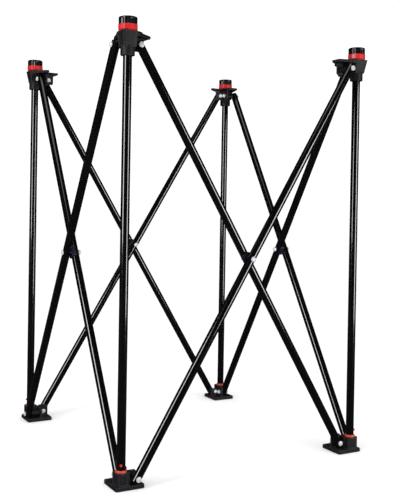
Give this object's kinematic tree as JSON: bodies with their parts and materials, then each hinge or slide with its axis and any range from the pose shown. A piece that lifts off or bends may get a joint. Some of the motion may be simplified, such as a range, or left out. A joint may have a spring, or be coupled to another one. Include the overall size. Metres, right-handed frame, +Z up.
{
  "type": "folding scissor frame",
  "caption": "Free-standing square frame of posts and crossed struts that folds into an upright bundle, with flat caps that carry a top and wide treaded feet.",
  "frame": {"origin": "on the floor, at the middle of the square of posts", "axes": "+Z up, +X along the front side from the front left post to the front right post, +Y from the front side to the rear side"},
  "size_m": [0.6658, 0.6658, 0.9795],
  "materials": {
    "black_tube": "gloss black powder coat on steel tube",
    "black_nylon": "fine moulded texture",
    "cap_plastic": "semi-gloss moulded",
    "red_plastic": "satin moulded",
    "collar_plastic": "satin moulded",
    "saddle_plastic": "moulded",
    "tread_rubber": "matte",
    "zinc_steel": "bright zinc plate",
    "spring_steel": "plain spring steel"
  },
  "bodies": {
    "front_left_corner": {"front_left_post_tube": "black_tube", "front_left_top_bracket": "black_nylon", "front_left_top_ring": "red_plastic", "front_left_top_cap": "cap_plastic", "front_left_button_spring": "spring_steel", "front_left_top_bolts": "zinc_steel"},
    "front_left_button": {"front_left_snap_button": "red_plastic"},
    "front_left_foot": {"front_left_foot_block": "black_nylon", "front_left_foot_tread": "tread_rubber", "front_left_foot_collar": "collar_plastic", "front_left_foot_bolts": "zinc_steel"},
    "front_right_corner": {"front_right_post_tube": "black_tube", "front_right_top_bracket": "black_nylon", "front_right_top_ring": "red_plastic", "front_right_top_cap": "cap_plastic", "front_right_button_spring": "spring_steel", "front_right_top_bolts": "zinc_steel"},
    "front_right_button": {"front_right_snap_button": "red_plastic"},
    "front_right_foot": {"front_right_foot_block": "black_nylon", "front_right_foot_tread": "tread_rubber", "front_right_foot_collar": "collar_plastic", "front_right_foot_bolts": "zinc_steel"},
    "rear_right_corner": {"rear_right_post_tube": "black_tube", "rear_right_top_bracket": "black_nylon", "rear_right_top_ring": "red_plastic", "rear_right_top_cap": "cap_plastic", "rear_right_button_spring": "spring_steel", "rear_right_top_bolts": "zinc_steel"},
    "rear_right_button": {"rear_right_snap_button": "red_plastic"},
    "rear_right_foot": {"rear_right_foot_block": "black_nylon", "rear_right_foot_tread": "tread_rubber", "rear_right_foot_collar": "collar_plastic", "rear_right_foot_bolts": "zinc_steel"},
    "rear_left_corner": {"rear_left_post_tube": "black_tube", "rear_left_top_bracket": "black_nylon", "rear_left_top_ring": "red_plastic", "rear_left_top_cap": "cap_plastic", "rear_left_button_spring": "spring_steel", "rear_left_top_bolts": "zinc_steel"},
    "rear_left_button": {"rear_left_snap_button": "red_plastic"},
    "rear_left_foot": {"rear_left_foot_block": "black_nylon", "rear_left_foot_tread": "tread_rubber", "rear_left_foot_collar": "collar_plastic", "rear_left_foot_bolts": "zinc_steel"},
    "front_inner_strut": {"front_inner_strut": "black_tube", "front_cross_bolt": "zinc_steel", "front_cross_saddle": "saddle_plastic"},
    "front_outer_strut": {"front_outer_strut": "black_tube"},
    "right_inner_strut": {"right_inner_strut": "black_tube", "right_cross_bolt": "zinc_steel", "right_cross_saddle": "saddle_plastic"},
    "right_outer_strut": {"right_outer_strut": "black_tube"},
    "rear_inner_strut": {"rear_inner_strut": "black_tube", "rear_cross_bolt": "zinc_steel", "rear_cross_saddle": "saddle_plastic"},
    "rear_outer_strut": {"rear_outer_strut": "black_tube"},
    "left_inner_strut": {"left_inner_strut": "black_tube", "left_cross_bolt": "zinc_steel", "left_cross_saddle": "saddle_plastic"},
    "left_outer_strut": {"left_outer_strut": "black_tube"}
  },
  "joints": [
    {"name": "fold", "type": "hinge", "parent": "front_left_corner", "child": "front_inner_strut", "pos_m": [-0.2745, -0.305, 0.926], "axis": [0, 1, 0], "range_deg": [0, 27.8]},
    {"name": "front_cross", "type": "hinge", "parent": "front_inner_strut", "child": "front_outer_strut", "pos_m": [0, -0.305, 0.4735], "axis": [0, 1, 0], "range_deg": [-55.8, 0.2]},
    {"name": "front_right_foot_pivot", "type": "hinge", "parent": "front_inner_strut", "child": "front_right_foot", "pos_m": [0.2745, -0.305, 0.021], "axis": [0, 1, 0], "range_deg": [-28, 0.2]},
    {"name": "front_right_top_pivot", "type": "hinge", "parent": "front_outer_strut", "child": "front_right_corner", "pos_m": [0.2745, -0.305, 0.926], "axis": [0, 1, 0], "range_deg": [-0.2, 28]},
    {"name": "front_left_foot_pivot", "type": "hinge", "parent": "front_outer_strut", "child": "front_left_foot", "pos_m": [-0.2745, -0.305, 0.021], "axis": [0, 1, 0], "range_deg": [-0.2, 28]},
    {"name": "right_inner_top_pivot", "type": "hinge", "parent": "front_right_corner", "child": "right_inner_strut", "pos_m": [0.305, -0.2745, 0.926], "axis": [-1, 0, 0], "range_deg": [-0.2, 28]},
    {"name": "right_cross", "type": "hinge", "parent": "right_inner_strut", "child": "right_outer_strut", "pos_m": [0.305, 0, 0.4735], "axis": [-1, 0, 0], "range_deg": [-55.8, 0.2]},
    {"name": "rear_right_foot_pivot", "type": "hinge", "parent": "right_inner_strut", "child": "rear_right_foot", "pos_m": [0.305, 0.2745, 0.021], "axis": [-1, 0, 0], "range_deg": [-28, 0.2]},
    {"name": "rear_right_top_pivot", "type": "hinge", "parent": "right_outer_strut", "child": "rear_right_corner", "pos_m": [0.305, 0.2745, 0.926], "axis": [-1, 0, 0], "range_deg": [-0.2, 28]},
    {"name": "rear_inner_top_pivot", "type": "hinge", "parent": "rear_right_corner", "child": "rear_inner_strut", "pos_m": [0.2745, 0.305, 0.926], "axis": [0, -1, 0], "range_deg": [-0.2, 28]},
    {"name": "left_outer_top_pivot", "type": "hinge", "parent": "front_left_corner", "child": "left_outer_strut", "pos_m": [-0.305, -0.2745, 0.926], "axis": [1, 0, 0], "range_deg": [-28, 0.2]},
    {"name": "left_cross", "type": "hinge", "parent": "left_outer_strut", "child": "left_inner_strut", "pos_m": [-0.305, 0, 0.4735], "axis": [1, 0, 0], "range_deg": [-0.2, 55.8]},
    {"name": "rear_left_foot_pivot", "type": "hinge", "parent": "left_outer_strut", "child": "rear_left_foot", "pos_m": [-0.305, 0.2745, 0.021], "axis": [1, 0, 0], "range_deg": [-0.2, 28]},
    {"name": "rear_left_top_pivot", "type": "hinge", "parent": "left_inner_strut", "child": "rear_left_corner", "pos_m": [-0.305, 0.2745, 0.926], "axis": [1, 0, 0], "range_deg": [-28, 0.2]},
    {"name": "rear_outer_top_pivot", "type": "hinge", "parent": "rear_left_corner", "child": "rear_outer_strut", "pos_m": [-0.2745, 0.305, 0.926], "axis": [0, -1, 0], "range_deg": [-28, 0.2]},
    {"name": "front_left_button_press", "type": "slide", "parent": "front_left_corner", "child": "front_left_button", "axis": [0.4226, 0.9063, 0], "range_m": [0, 0.0024], "stiffness_N_per_m": 1500, "springref_m": -0.001, "deforming": ["front_left_button_spring"]},
    {"name": "front_right_button_press", "type": "slide", "parent": "front_right_corner", "child": "front_right_button", "axis": [-0.9063, 0.4226, 0], "range_m": [0, 0.0024], "stiffness_N_per_m": 1500, "springref_m": -0.001, "deforming": ["front_right_button_spring"]},
    {"name": "rear_right_button_press", "type": "slide", "parent": "rear_right_corner", "child": "rear_right_button", "axis": [-0.4226, -0.9063, 0], "range_m": [0, 0.0024], "stiffness_N_per_m": 1500, "springref_m": -0.001, "deforming": ["rear_right_button_spring"]},
    {"name": "rear_left_button_press", "type": "slide", "parent": "rear_left_corner", "child": "rear_left_button", "axis": [0.9063, -0.4226, 0], "range_m": [0, 0.0024], "stiffness_N_per_m": 1500, "springref_m": -0.001, "deforming": ["rear_left_button_spring"]}
  ],
  "couplings": [
    {"joint": "front_cross", "follows": "fold", "ratio": -2},
    {"joint": "front_right_foot_pivot", "follows": "fold", "ratio": -1},
    {"joint": "front_right_top_pivot", "follows": "fold", "ratio": 1},
    {"joint": "front_left_foot_pivot", "follows": "fold", "ratio": 1},
    {"joint": "right_inner_top_pivot", "follows": "fold", "ratio": 1},
    {"joint": "right_cross", "follows": "fold", "ratio": -2},
    {"joint": "rear_right_foot_pivot", "follows": "fold", "ratio": -1},
    {"joint": "rear_right_top_pivot", "follows": "fold", "ratio": 1},
    {"joint": "rear_inner_top_pivot", "follows": "fold", "ratio": 1},
    {"joint": "left_outer_top_pivot", "follows": "fold", "ratio": -1},
    {"joint": "left_cross", "follows": "fold", "ratio": 2},
    {"joint": "rear_left_foot_pivot", "follows": "fold", "ratio": 1},
    {"joint": "rear_left_top_pivot", "follows": "fold", "ratio": -1},
    {"joint": "rear_outer_top_pivot", "follows": "fold", "ratio": -1}
  ]
}
